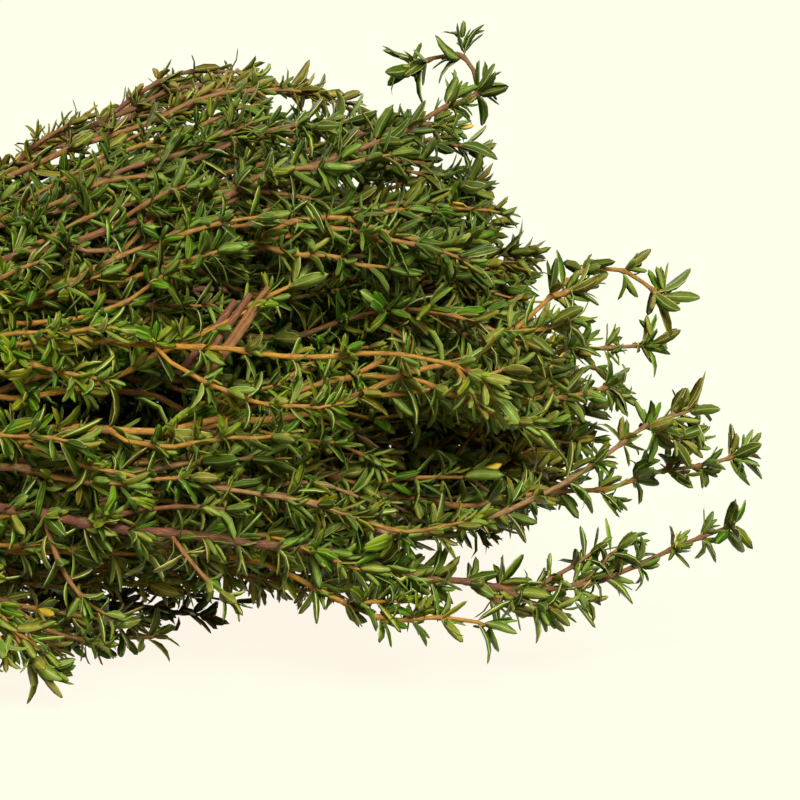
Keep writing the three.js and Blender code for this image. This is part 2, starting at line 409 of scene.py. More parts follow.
def add_stem(parts, path, start_radius, end_radius, nodes, sides, tone, cut_start=False, cut_tip=False):
    """A round tapering tube along the path, swollen at its nodes and closed at both ends."""
    at = stem_ring_places(path.length, nodes)
    nearest = np.min(np.abs(at[:, None] - np.r_[nodes, FAR_OFF]), axis=1)
    swelling = np.exp(-((nearest / NODE_SWELLING_REACH) ** 2))
    taper = (end_radius - start_radius) * (at / path.length) ** TAPER
    radius = start_radius + taper + NODE_SWELLING * swelling
    point, tangent, front, down = path.frame_at(at)
    rings, angle = tube_rings(point, front, down, radius, sides)
    tip = point[-1:] if cut_tip else point[-1:] + tangent[-1:] * radius[-1]
    vertices = np.vstack([rings.reshape(-1, 3), point[:1], tip])
    first, last = len(vertices) - 2, len(vertices) - 1
    corner = np.arange(sides)
    next_corner = (corner + 1) % sides
    last_ring = first - sides
    start_cap = np.stack([next_corner, corner, np.full(sides, first)], axis=-1)
    end_cap = np.stack([last_ring + corner, last_ring + next_corner, np.full(sides, last)], axis=-1)
    values = stem_values(at, path.length, swelling, angle, tone, cut_start, cut_tip)
    parts.add(vertices, tube_quads(len(at), sides), np.vstack([start_cap, end_cap]), **values)


# ---------------------------------------------------------------- leaves

# Stations along a leaf's blade and its half-width there: a short stalk, widest near the middle.
FINE_OUTLINE = ((0.06, 0.24), (0.20, 0.62), (0.44, 0.98), (0.71, 0.91), (0.92, 0.48))
COARSE_OUTLINE = ((0.14, 0.68), (0.48, 1.0), (0.85, 0.72))
PLAIN_OUTLINE = ((0.25, 0.9), (0.75, 0.9))
# Places across the blade, from edge to edge, and how far the blade stands up there.
FINE_SECTION = ((-1.0, -0.5), (-0.66, 0.16), (0.0, -0.12), (0.66, 0.16), (1.0, -0.5))
UNDER_SECTION = ((-1.0, -0.5), (0.0, -0.12), (1.0, -0.5))
COARSE_SECTION = ((-1.0, -0.25), (0.0, 0.1), (1.0, -0.25))
LEAF_THICKNESS = 0.26 * MM
# Which side of its leaf a vertex is on, as the leaf's material reads it.
UPPER, EDGE, UNDER = 0.0, 0.5, 1.0


class LeafTemplate:
    """The grid of one leaf: an upper and an under side that share their edge, stalk end and tip."""

    def __init__(self, outline, upper_section, under_section):
        self.points = []
        self.quads, self.triangles = [], []
        base = self.vertex(0.0, 0.0, 0.0, EDGE, 0.0)
        tip = self.vertex(1.0, 0.0, 0.0, EDGE, 0.0)
        upper = self.side(outline, upper_section, UPPER)
        under = self.side(outline, under_section, UNDER, upper)
        self.cover(upper, base, tip, 1)
        self.cover(under, base, tip, -1)
        self.along, self.across, self.rise, self.under, self.width = np.array(self.points).T
        self.quads = np.array(self.quads)
        self.triangles = np.array(self.triangles)

    def vertex(self, *point):
        """Adds one vertex: along, across, rise, side of the leaf and half-width. Returns its number."""
        self.points.append(point)
        return len(self.points) - 1

    def side(self, outline, section, under, other=None):
        """The vertex numbers of one side, row by row; the edges are the other side's, if it is there."""
        rows = []
        for number, (u, half_width) in enumerate(outline):
            row = [self.vertex(u, v, rise, under, half_width) for v, rise in section[1:-1]]
            if other is None:
                (left, left_rise), (right, right_rise) = section[0], section[-1]
                first = self.vertex(u, left, left_rise, EDGE, half_width)
                last = self.vertex(u, right, right_rise, EDGE, half_width)
            else:
                first, last = other[number][0], other[number][-1]
            rows.append([first, *row, last])
        return rows

    def cover(self, rows, base, tip, order):
        """The faces of one side, which look the other way where order is -1."""
        for column in range(len(rows[0]) - 1):
            for row, following in zip(rows, rows[1:]):
                quad = [row[column], following[column], following[column + 1], row[column + 1]]
                self.quads.append(quad[::order])
            self.triangles.append([base, rows[0][column], rows[0][column + 1]][::order])
            self.triangles.append([tip, rows[-1][column + 1], rows[-1][column]][::order])


LEAF_TEMPLATES = {
    "fine": LeafTemplate(FINE_OUTLINE, FINE_SECTION, UNDER_SECTION),
    "coarse": LeafTemplate(COARSE_OUTLINE, COARSE_SECTION, COARSE_SECTION),
    "plain": LeafTemplate(PLAIN_OUTLINE, COARSE_SECTION, COARSE_SECTION),
}


class Leaves:
    """A list of leaves: where each starts, where it points and faces, its size, bends and colours."""

    FIELDS = ("base", "axis", "face", "length", "width", "arch", "sweep", "fold", "age", "tint", "dying")

    def __init__(self):
        self.rows = {name: [] for name in self.FIELDS}

    def add(self, **row):
        for name in self.FIELDS:
            self.rows[name].append(row[name])

    def __len__(self):
        return len(self.rows["length"])

    def write(self, parts, template, veins):
        """Adds every leaf of the list to the parts, each as a bent and folded copy of the template."""
        if not len(self):
            return
        leaf = {name: np.array(values, float) for name, values in self.rows.items()}
        axis = unit(leaf["axis"])
        face = unit(leaf["face"] - axis * np.sum(leaf["face"] * axis, axis=1, keepdims=True))
        side = np.cross(face, axis)
        u, v = template.along[None, :], template.across[None, :]
        length, arch = leaf["length"][:, None], leaf["arch"][:, None]
        half_width = leaf["width"][:, None] / 2 * template.width[None, :]
        # A blade that curls back on an arc, by the first terms of its sine and cosine.
        forward = length * u * (1 - (arch * u) ** 2 / 6)
        drop = -length * arch * u**2 / 2
        height = half_width * (template.rise[None, :] + leaf["fold"][:, None] * np.abs(v))
        thickness = LEAF_THICKNESS * (1 - v**2) * np.minimum(1, template.width[None, :] * 2)
        lift = drop + height - np.where(template.under[None, :] == UNDER, thickness, 0)
        count, size = forward.shape
        spots = (
            leaf["base"][:, None]
            + axis[:, None] * forward[..., None]
            + side[:, None] * (half_width * v + leaf["sweep"][:, None] * length * u**2 / 2)[..., None]
            + face[:, None] * lift[..., None]
        )
        shift = (np.arange(count) * size)[:, None, None]
        quads = (template.quads[None] + shift).reshape(-1, 4)
        triangles = (template.triangles[None] + shift).reshape(-1, 3)
        blade = np.broadcast_arrays(np.abs(v), u, template.under, leaf["tint"][:, None])
        life = np.broadcast_arrays(leaf["age"][:, None], leaf["dying"][:, None], np.full(size, veins))
        parts.add(spots.reshape(-1, 3), quads, triangles,
                  blade=np.stack(blade, axis=-1).reshape(-1, 4), life=np.stack(life, axis=-1).reshape(-1, 3))


# ---------------------------------------------------------------- how a sprig grows

# How finely a sprig is made: its main leaves, its tufts' leaves, and the sides of its stems.
DETAIL = {
    "near": ("fine", "coarse", 7, 5),
    "far": ("coarse", "plain", 6, 4),
    "inner": ("plain", "plain", 4, 3),
}
# Ways off a stem that runs along the bunch, as turns in its own frame.
FRONT, DOWN, UP = 0.0, math.pi / 2, -math.pi / 2
# A side shoot at a chosen node, and a bare cut stem in front of its sprig. Lengths are in mm.
Fork = namedtuple("Fork", "before_tip length turn reach")
Stub = namedtuple("Stub", "before_tip length low high forward")

# A pair is a range, unless it is said to be a mean and a spread. Leans and turns are in radians.
LEAVES_FROM = 42 * MM  # arc length from the cut end where leaves begin
LEAF_WIDTH_SHARE = {"fine": (0.27, 0.39), "coarse": (0.26, 0.37), "plain": (0.28, 0.38)}
LEAF_VEINS = {"fine": 1.0, "coarse": 0.65, "plain": 0.3}  # how clear a leaf's rib and margin are
LEAF_ROLL = 0.35  # the spread of its turn about its own length
LEAF_ARCH = (0.45, 0.6)  # how far it curls back: mean and spread
LEAF_SWEEP = 0.35  # the spread of its sideways bend
LEAF_FOLD = (-0.2, 0.6)
LEAF_AGE_SPREAD = 0.27
TINT_SPREAD = 0.5  # how far a leaf's tint may be from its sprig's
DYING_SHARE = 0.003
BROAD = 1.5  # how many times as wide as others a broad leaf is

# A shoot: its nodes, and the pair of leaves at each.
NODES_END = 3.5 * MM  # where its rosette takes over, before its tip
GAP_SIZES = (0.8, 1.2)
NODE_LEAF_SIZES = (0.8, 1.08)
PAIR_LEAF_SIZES = (0.9, 1.1)
FIRST_LEAF, TIP_LEAF_LOSS = 1.05, 0.25  # the size of its first leaves, and how much smaller its last are
PAIR_TWIST = 0.2
LEAF_FOOT = 0.7  # how far out a leaf starts, in the stem's radii
LEAF_KEPT = 0.93  # the share of leaves that haven't dropped
LEAN_SPREAD = 0.25
TIP_CLOSING = 0.2  # how much less the leaves at its tip lean
TUFT_LEAF = 0.8  # a tuft's leaves, as a share of the pair's

# A tuft: the little shoot in a leaf's axil. Its stalk is in mm.
TUFT_LEAN = (0.35, 0.85)
TUFT_STALK = (0.3, 1.2)
TUFT_FIRST_PAIR, TUFT_PAIR_STEP = 0.4, 0.8  # in stalks
TUFT_LEAF_SIZES = (0.8, 1.2)
TUFT_LEAF_LEAN = (0.35, 0.95)
TUFT_SHRINKING, TUFT_CLOSING = 0.12, 0.06  # from each pair to the next
TUFT_YOUNGER = 0.15
OFF_AXIS = 0.01  # keeps a cross product from vanishing

# A rosette: the crowded pairs at a shoot's tip, with its lengths in mm.
ROSETTE_PAIRS = 4
ROSETTE_END, ROSETTE_PAIR_STEP = 0.2, 1.0
ROSETTE_LEAF_SIZES = (0.85, 1.1)
ROSETTE_LEAF_LEAN = (0.55, 0.95)
ROSETTE_SHRINKING, ROSETTE_CLOSING, ROSETTE_YOUNGER = 0.13, 0.17, 0.1  # from each pair to the next
ROSETTE_TWIST = 0.15
ROSETTE_FOOT = 0.5

# The main stem.
MAIN_RADIUS, MAIN_TIP_RADIUS = 0.68 * MM, 0.3 * MM
MAIN_LEAF_RADIUS = 0.4 * MM
MAIN_YOUNG = (-0.1, 0.75)  # how green its start and its tip are
SWAY_WAVELENGTH = (45 * MM, 90 * MM)
SWAY_FROM = (30 * MM, 70 * MM)
KINK = 0.45 * MM  # the spread of its small bends
CLOSEST_TO_END = 0.5 * MM

# Side shoots. Those at random nodes are shoots, with small leaves, and branches, with full ones.
SHOOT_RADIUS, BRANCH_RADIUS, FORK_RADIUS, SHOOT_TIP_RADIUS = 0.42 * MM, 0.45 * MM, 0.4 * MM, 0.24 * MM
SHOOT_LENGTH, BRANCH_LENGTH = (12, 38), (20, 40)  # mm
SHOOT_OVERRUN, BRANCH_OVERRUN = 2 * MM, -4 * MM  # how far past the main tip one may end
SHOOT_REACHES, BRANCH_REACHES = (0.45, 1.35), (0.25, 0.5)  # of the habit's reach, and of a branch's length
SHOOT_BARE, BRANCH_BARE = (2.5, 9.0), (4.0, 12.0)  # mm before its first leaves
FORK_BARE = (0.15, 0.35)  # share of its length before its first leaves
FRONT_SPREAD = 0.9  # of the shoots that turn to the front
BRANCH_TURN = (0.7, 1.4)  # up or down from the front
STEEP = 0.3  # side shoots that rise more than this from their stem open all along their length
SHOOT_FEWEST_POINTS, SHOOT_POINT_STEP = 5, 3 * MM
SHOOT_ADVANCE = (0.78, 0.97)  # how far along the main stem a shoot gets for its own length
SHOOT_TWIST, SHOOT_TWIST_LENGTH = 0.6, 30 * MM
SHOOT_OPENING = (7, 15)  # mm in which most of its reach is made
SHOOT_KINK = 0.25 * MM
SHOOT_GAP, SHOOT_LAST_GAP = (3.4, 6.5), 0.65  # mm, and a share of the first gap
SHOOT_BARK = (0.5, 1.1)  # of the main stem's
SHOOT_YOUNG = (0.3, 1.0)  # how green its start and its tip are
SHOOT_YOUNGER = 0.1  # how much younger its leaves are than the main stem's
SHOOT_LEAF = (0.68, 0.92)  # of the main stem's

# Stubs.
STUB_POINTS = 4
STUB_RADIUS, STUB_TIP = (0.48, 0.66), 0.9  # mm, and a share of it
STUB_BARK, STUB_SCATTER = (0.5, 0.95), (0.1, 0.6)


@dataclass
class Habit:
    """How one sprig grows. Lengths are in mm."""

    detail: str = "near"
    girth: float = 1.0
    bark: float = 0.5  # from ochre, 0, to red-brown, 1
    sway: float = 0.0  # how far the stem waves
    trim: float = 0.0  # how much of the line is left out at its tip
    drop: float = 0.0  # how far below its line the stem lies
    gaps: tuple = (8.0, 5.0)  # between the first nodes and between the last
    leaf: float = 6.8
    lean: float = 0.95  # of its leaves from the stem
    tint: float = None  # from ochre, 0, to deep green, 1; None draws one
    age: float = 0.5  # above 0.5, leaves darken
    broad: float = 0.0  # the share of leaves that are broad
    tuft_pairs: int = 2
    shoots: int = 7
    shoot_reach: float = 6.0
    branches: int = 0
    bare_tip: float = 18.0  # how far from the tip no shoots or branches start
    forks: tuple = ()
    stubs: tuple = ()


class Sprig:
    """Grows one sprig's stems and leaves along its CAD centreline."""

    def __init__(self, node, seed, habit):
        self.rng = np.random.default_rng(seed)
        self.node = node
        self.habit = habit
        self.leaves = {kind: Leaves() for kind in LEAF_TEMPLATES}
        self.stems = MeshParts(fibre=4, bark_tone=4)
        self.tint = self.rng.uniform(0.0, 1.0) if habit.tint is None else habit.tint
        self.main_leaf, self.small_leaf, self.sides, self.shoot_sides = DETAIL[habit.detail]

    def leaf(self, base, axis, face, length, age, small=False):
        rng = self.rng
        axis = unit(axis)
        side = np.cross(face, axis)
        roll = rng.normal(0, LEAF_ROLL)
        face = face * math.cos(roll) + side * math.sin(roll)
        kind = self.small_leaf if small else self.main_leaf
        width = length * rng.uniform(*LEAF_WIDTH_SHARE[kind])
        if rng.uniform() < self.habit.broad:
            width *= BROAD
        self.leaves[kind].add(
            base=base, axis=axis, face=face, length=length, width=width,
            arch=rng.normal(*LEAF_ARCH), sweep=rng.normal(0, LEAF_SWEEP), fold=rng.uniform(*LEAF_FOLD),
            age=np.clip(age + rng.normal(0, LEAF_AGE_SPREAD), 0, 1),
            tint=np.clip(self.tint + TINT_SPREAD * rng.uniform(-1, 1), 0, 1),
            dying=1.0 if rng.uniform() < DYING_SHARE else 0.0,
        )

    def leaf_from(self, point, tangent, out, angle, length, age, small=False):
        """A leaf on a shoot: out is the way it leaves the shoot, angle its lean from the shoot."""
        axis = tangent * math.cos(angle) + out * math.sin(angle)
        face = tangent * math.sin(angle) - out * math.cos(angle)
        self.leaf(point, axis, face, length, age, small)

    def pair_ways(self, first, second, turn, number, twist=0.0):
        """The ways out of the two leaves of a pair, which is a quarter turn on from the one before."""
        for half in (0, 1):
            angle = turn + number * math.pi / 2 + half * math.pi
            if twist:
                angle += self.rng.normal(0, twist)
            yield first * math.cos(angle) + second * math.sin(angle)

    def tuft(self, point, tangent, out, leaf_length, age, pairs):
        """The little shoot in a leaf's axil: a few pairs of small leaves from nearly one point."""
        rng = self.rng
        lean = rng.uniform(*TUFT_LEAN)
        heart = unit(tangent * math.cos(lean) + out * math.sin(lean))
        first = unit(np.cross(heart, tangent + OFF_AXIS))
        second = np.cross(heart, first)
        stalk = rng.uniform(*TUFT_STALK) * MM
        turn = rng.uniform(0, math.pi)
        for pair in range(pairs):
            spot = point + heart * (stalk * (TUFT_FIRST_PAIR + TUFT_PAIR_STEP * pair))
            length = leaf_length * (1 - TUFT_SHRINKING * pair) * rng.uniform(*TUFT_LEAF_SIZES)
            for way in self.pair_ways(first, second, turn, pair):
                lean = rng.uniform(*TUFT_LEAF_LEAN) - TUFT_CLOSING * pair
                self.leaf_from(spot, heart, way, lean, length, age - TUFT_YOUNGER, small=True)

    def rosette(self, path, radius, leaf_length, age, small):
        """The crowded pairs at a shoot's tip, of which the last two are small."""
        rng = self.rng
        turn = rng.uniform(0, math.pi)
        for pair in range(ROSETTE_PAIRS):
            from_tip = ROSETTE_END + ROSETTE_PAIR_STEP * (ROSETTE_PAIRS - 1 - pair)
            point, tangent, front, down = path.frame_at(path.length - from_tip * MM)
            length = leaf_length * (1 - ROSETTE_SHRINKING * pair) * rng.uniform(*ROSETTE_LEAF_SIZES)
            for way in self.pair_ways(front, down, turn, pair, ROSETTE_TWIST):
                lean = rng.uniform(*ROSETTE_LEAF_LEAN) - ROSETTE_CLOSING * pair
                foot = point + way * radius * ROSETTE_FOOT
                self.leaf_from(foot, tangent, way, lean, length, age - ROSETTE_YOUNGER * pair,
                               small=small or pair >= ROSETTE_PAIRS - 2)

    def node_places(self, path, start, first_gap, last_gap):
        """Arc lengths of a shoot's nodes, closer together towards its tip."""
        places, at = [], start
        while at < path.length - NODES_END:
            places.append(at)
            share = at / path.length
            at += (first_gap + (last_gap - first_gap) * share**2) * self.rng.uniform(*GAP_SIZES)
        return np.array(places)

    def leafy_shoot(self, path, radius, nodes, leaf_length, tuft_pairs, age, small=False):
        """Leaves at each node of a shoot: an opposite pair, each with a tuft in its axil."""
        rng = self.rng
        turn = rng.uniform(0, math.pi)
        for number, at in enumerate(nodes):
            point, tangent, front, down = path.frame_at(at)
            share = at / path.length
            size = leaf_length * (FIRST_LEAF - TIP_LEAF_LOSS * share**3) * rng.uniform(*NODE_LEAF_SIZES)
            for way in self.pair_ways(front, down, turn, number, PAIR_TWIST):
                foot = point + way * radius * LEAF_FOOT
                if rng.uniform() < LEAF_KEPT:
                    lean = rng.normal(self.habit.lean, LEAN_SPREAD) - TIP_CLOSING * share
                    length = size * rng.uniform(*PAIR_LEAF_SIZES)
                    self.leaf_from(foot, tangent, way, lean, length, age, small)
                pairs = rng.integers(tuft_pairs - 1, tuft_pairs + 2)
                if pairs > 0:
                    self.tuft(foot, tangent, way, size * TUFT_LEAF, age, pairs)
        self.rosette(path, radius, leaf_length, age, small)

    def side_shoot(self, main, start, length, turn, reach, radius, small=True, bare=SHOOT_BARE):
        """A side shoot that leaves the main stem at a node, opens away from it and runs to its own tip."""
        rng = self.rng
        along = np.linspace(0, length, max(SHOOT_FEWEST_POINTS, int(length / SHOOT_POINT_STEP)))
        slope = reach / length
        steep = slope > STEEP
        at = start + along * (math.sqrt(max(0.0, 1 - slope**2)) if steep else rng.uniform(*SHOOT_ADVANCE))
        point, tangent, front, down = main.frame_at(np.minimum(at, main.length))
        point = point + tangent * np.maximum(0, at - main.length)[:, None]
        angle = turn + rng.normal(0, SHOOT_TWIST) * along / SHOOT_TWIST_LENGTH
        opening = length if steep else rng.uniform(*SHOOT_OPENING) * MM
        away = reach * (1 - np.exp(-along / opening)) / (1 - np.exp(-length / opening))
        away = away + rng.normal(0, SHOOT_KINK, len(along)) * (along > 0)
        way = front * np.cos(angle)[:, None] + down * np.sin(angle)[:, None]
        path = Path(point + way * away[:, None])
        first_gap = rng.uniform(*SHOOT_GAP) * MM
        nodes = self.node_places(path, rng.uniform(*bare) * MM, first_gap, SHOOT_LAST_GAP * first_gap)
        tone = Tone(self.habit.bark * rng.uniform(*SHOOT_BARK), SHOOT_YOUNG, rng.uniform())
        add_stem(self.stems, path, radius, SHOOT_TIP_RADIUS, nodes, self.shoot_sides, tone)
        leaf_length = self.habit.leaf * MM * rng.uniform(*SHOOT_LEAF)
        self.leafy_shoot(path, radius, nodes, leaf_length, 1, self.habit.age - SHOOT_YOUNGER, small)

    def shoot(self, main, start, turn_to_front):
        """A side shoot with small leaves, on the front where asked and else on any side."""
        rng = self.rng
        length = min(rng.uniform(*SHOOT_LENGTH) * MM, main.length - start + SHOOT_OVERRUN)
        reach = self.habit.shoot_reach * MM * rng.uniform(*SHOOT_REACHES)
        turn = rng.normal(FRONT, FRONT_SPREAD) if turn_to_front else rng.uniform(0, 2 * math.pi)
        self.side_shoot(main, start, length, turn, reach, SHOOT_RADIUS)

    def branch(self, main, start):
        """A long side shoot with full leaves, above or below the front."""
        rng = self.rng
        length = min(rng.uniform(*BRANCH_LENGTH) * MM, main.length - start + BRANCH_OVERRUN)
        turn = FRONT + rng.choice((-1, 1)) * rng.uniform(*BRANCH_TURN)
        reach = length * rng.uniform(*BRANCH_REACHES)
        self.side_shoot(main, start, length, turn, reach, BRANCH_RADIUS, small=False, bare=BRANCH_BARE)

    def fork(self, main, nodes, fork):
        """A side shoot of a chosen length and way, from the node nearest its chosen place."""
        start = nodes[np.argmin(np.abs(nodes - (main.length - fork.before_tip * MM)))]
        bare = [share * fork.length for share in FORK_BARE]
        self.side_shoot(main, start, fork.length * MM, fork.turn, fork.reach * MM, FORK_RADIUS,
                        small=False, bare=bare)

    def stub(self, main, stub):
        """A bare cut side stem in front of the main one, that rises across it from low to high."""
        rng = self.rng
        share = np.linspace(0, 1, STUB_POINTS)[:, None]
        at = main.length + (stub.length * share[:, 0] - stub.before_tip) * MM
        point, tangent, front, down = main.frame_at(at)
        rise = stub.low + (stub.high - stub.low) * share
        path = Path(point + (front * stub.forward - down * rise) * MM)
        radius = rng.uniform(*STUB_RADIUS) * MM
        tone = Tone(rng.uniform(*STUB_BARK), (0.0, 0.0), rng.uniform(*STUB_SCATTER))
        no_nodes = np.array([])
        add_stem(self.stems, path, radius, STUB_TIP * radius, no_nodes, self.sides, tone, cut_tip=True)

    def grow(self):
        """The main stem with its leaves, then all that grows from its nodes."""
        rng, habit = self.rng, self.habit
        main = Path(self.trimmed(self.swaying(ring_centres(self.node))))
        nodes = self.node_places(main, LEAVES_FROM, *(gap * MM for gap in habit.gaps))
        tone = Tone(habit.bark, MAIN_YOUNG, rng.uniform())
        radius = MAIN_RADIUS * habit.girth
        add_stem(self.stems, main, radius, MAIN_TIP_RADIUS, nodes, self.sides, tone, cut_start=True)
        self.leafy_shoot(main, MAIN_LEAF_RADIUS, nodes, habit.leaf * MM, habit.tuft_pairs, habit.age)
        free = nodes[nodes < main.length - habit.bare_tip * MM]
        for number, start in enumerate(rng.choice(free, habit.shoots)):
            self.shoot(main, start, turn_to_front=number % 2 == 1)
        for start in rng.choice(free, habit.branches):
            self.branch(main, start)
        for fork in habit.forks:
            self.fork(main, nodes, fork)
        for stub in habit.stubs:
            self.stub(main, stub)

    def trimmed(self, centres):
        """The line without its last bit, so that the tip's leaves end about where the line did."""
        arc = arc_lengths(centres)
        end = arc[-1] - self.habit.trim * MM
        return np.vstack([centres[arc < end - CLOSEST_TO_END], sampled(end, arc, centres)])

    def swaying(self, centres):
        """The CAD centreline with the slow bends and small kinks of a grown stem past the band."""
        rng = self.rng
        along = arc_lengths(centres)
        free = np.clip((along - SWAY_FROM[0]) / (SWAY_FROM[1] - SWAY_FROM[0]), 0, 1)
        offset = np.zeros_like(centres)
        for axis in (1, 2):
            wave = 2 * math.pi * along / rng.uniform(*SWAY_WAVELENGTH) + rng.uniform(0, 2 * math.pi)
            offset[:, axis] = self.habit.sway * MM * np.sin(wave) + rng.normal(0, KINK, len(along))
        offset[:, 2] -= self.habit.drop * MM
        return centres + offset * free[:, None]

    def build(self, stem_material, leaf_material):
        stems = self.stems.build(self.node + "_stems", stem_material)
        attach(stems, "root")
        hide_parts(self.node)
        blades = MeshParts(blade=4, life=3)
        for kind, template in LEAF_TEMPLATES.items():
            self.leaves[kind].write(blades, template, LEAF_VEINS[kind])
        leaves = blades.build(self.node + "_leaves", leaf_material)
        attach(leaves, "root")


# ---------------------------------------------------------------- materials

# A Mix node has a set of sockets for each data type; these are the colour ones.
MIX_FIRST_COLOUR, MIX_SECOND_COLOUR, MIX_COLOUR_RESULT = 6, 7, 2

PLANT_SPECULAR = 0.12
LEAF_SPECULAR_TINT = (1.0, 1.0, 0.6, 1)
TOP_OCHRE = (0.30, 0.19, 0.014, 1)
TOP_OLIVE = (0.22, 0.25, 0.007, 1)
TOP_GREEN = (0.094, 0.28, 0.004, 1)
TOP_DEEP = (0.059, 0.18, 0.011, 1)
TOP_YOUNG = (0.36, 0.49, 0.014, 1)
# The aged leaves' dark tops. The inner sprigs' leaves take them all over, as painted shade inside the bunch.
TOP_OLD_AND_SHADE_BROWN = (0.1, 0.056, 0.001, 1)
TOP_OLD_AND_SHADE_GREEN = (0.034, 0.08, 0.001, 1)
TOP_PATCH = (0.37, 0.24, 0.012, 1)
TOP_DARK_STREAK = (0.031, 0.047, 0.001, 1)
TOP_LIGHT_STREAK = (0.43, 0.49, 0.034, 1)
# A painted shade that darkens the groove beside the rib.
TOP_GROOVE_SHADE = (0.036, 0.088, 0.001, 1)
TOP_RIB = (0.64, 0.64, 0.17, 1)
UNDER_OCHRE = (0.33, 0.26, 0.027, 1)
UNDER_GREEN = (0.17, 0.30, 0.035, 1)
UNDER_MOTTLE = (0.44, 0.47, 0.099, 1)
# The aged leaves' dark undersides, which are also painted shade on the inner sprigs.
UNDER_OLD_AND_SHADE_BROWN = (0.087, 0.08, 0.002, 1)
UNDER_OLD_AND_SHADE_GREEN = (0.039, 0.084, 0.002, 1)
UNDER_RIB = (0.83, 0.74, 0.37, 1)
# The margin's own pale colour, made brighter as a painted highlight along the rolled edge.
LEAF_RIM_AND_HIGHLIGHT = (0.84, 0.76, 0.34, 1)
LEAF_STALK = (0.81, 0.55, 0.14, 1)
LEAF_DYING = (0.90, 0.60, 0.057, 1)
BARK_OCHRE = (0.68, 0.33, 0.034, 1)
BARK_TANS = (0.43, 0.19, 0.04, 1), (0.38, 0.22, 0.11, 1)
BARK_REDS = (0.19, 0.062, 0.028, 1), (0.21, 0.09, 0.056, 1)
BARK_PATCH = (0.43, 0.16, 0.06, 1)
BARK_YOUNG = (0.45, 0.30, 0.071, 1)
BARK_LIGHT_FIBRE = (0.78, 0.56, 0.34, 1)
BARK_DARK_FIBRE = (0.092, 0.038, 0.014, 1)
BARK_KNOT = (0.18, 0.094, 0.053, 1)
CUT_WOOD = (0.66, 0.58, 0.34, 1)
BARK_ROUGHNESS = 0.6
FIBRE_SCALE = (1.6, 1.6, 0.35)  # long along the stem
RUBBER = (0.47, 0.27, 0.1, 1)
RUBBER_BLOOM = (0.58, 0.38, 0.18, 1)
FINE_BUMP, FIBRE_BUMP = 0.1 * MM, 0.2 * MM
STREAK_VARIETY = 60  # gives each leaf streaks of its own
STREAK_PACE = 0.8  # how much of the streaks' pattern a leaf's length takes, against its half-width
# The painted shade along the groove beside the rib is placed by the next number.
GROOVE_SHADE_PLACE = 0.3  # where the dark groove beside the rib is, as a share of the half-width


class Nodes:
    """Short calls for the nodes of one material."""

    def __init__(self, name):
        self.material, self.tree, self.output = node_material(name)
        self.shader = self.tree.nodes.new("ShaderNodeBsdfPrincipled")
        self.tree.links.new(self.shader.outputs[0], self.output.inputs["Surface"])

    def link(self, value, socket):
        """Feeds a socket from another socket or a plain value."""
        if isinstance(value, bpy.types.NodeSocket):
            self.tree.links.new(value, socket)
        else:
            socket.default_value = value

    def surface(self, name, value):
        """Feeds one of the surface shader's own sockets."""
        self.link(value, self.shader.inputs[name])

    def attribute(self, name):
        node = self.tree.nodes.new("ShaderNodeAttribute")
        node.attribute_name = name
        return node

    def channels(self, name):
        """The first three values of a colour attribute, and its fourth."""
        node = self.attribute(name)
        split = self.tree.nodes.new("ShaderNodeSeparateColor")
        self.tree.links.new(node.outputs["Color"], split.inputs[0])
        return [*split.outputs, node.outputs["Alpha"]]

    def math(self, operation, a, b=0.0):
        node = self.tree.nodes.new("ShaderNodeMath")
        node.operation = operation
        self.link(a, node.inputs[0])
        self.link(b, node.inputs[1])
        return node.outputs[0]

    def ramp(self, value, low, high, start=0.0, end=1.0):
        """value mapped smoothly from low..high to start..end."""
        node = self.tree.nodes.new("ShaderNodeMapRange")
        node.interpolation_type = "SMOOTHSTEP"
        self.link(value, node.inputs["Value"])
        limits = {"From Min": low, "From Max": high, "To Min": start, "To Max": end}
        for socket, number in limits.items():
            node.inputs[socket].default_value = number
        return node.outputs["Result"]

    def mix(self, share, a, b):
        node = self.tree.nodes.new("ShaderNodeMix")
        node.data_type = "RGBA"
        self.link(share, node.inputs["Factor"])
        self.link(a, node.inputs[MIX_FIRST_COLOUR])
        self.link(b, node.inputs[MIX_SECOND_COLOUR])
        return node.outputs[MIX_COLOUR_RESULT]

    def layered(self, colour, *layers):
        """The colour with each layer's own colour mixed over it, by the layer's share."""
        for share, over in layers:
            colour = self.mix(share, colour, over)
        return colour

    def vector(self, x, y, z):
        node = self.tree.nodes.new("ShaderNodeCombineXYZ")
        for socket, value in zip(node.inputs, (x, y, z)):
            self.link(value, socket)
        return node.outputs[0]

    def noise(self, vector, scale, detail=2.0, roughness=0.5):
        node = self.tree.nodes.new("ShaderNodeTexNoise")
        self.tree.links.new(vector, node.inputs["Vector"])
        node.inputs["Scale"].default_value = scale
        node.inputs["Detail"].default_value = detail
        node.inputs["Roughness"].default_value = roughness
        return node.outputs["Fac"]

    def object_coordinates(self):
        return self.tree.nodes.new("ShaderNodeTexCoord").outputs["Object"]

    def bump(self, height, strength, distance):
        node = self.tree.nodes.new("ShaderNodeBump")
        node.inputs["Strength"].default_value = strength
        node.inputs["Distance"].default_value = distance
        self.tree.links.new(height, node.inputs["Height"])
        self.surface("Normal", node.outputs[0])


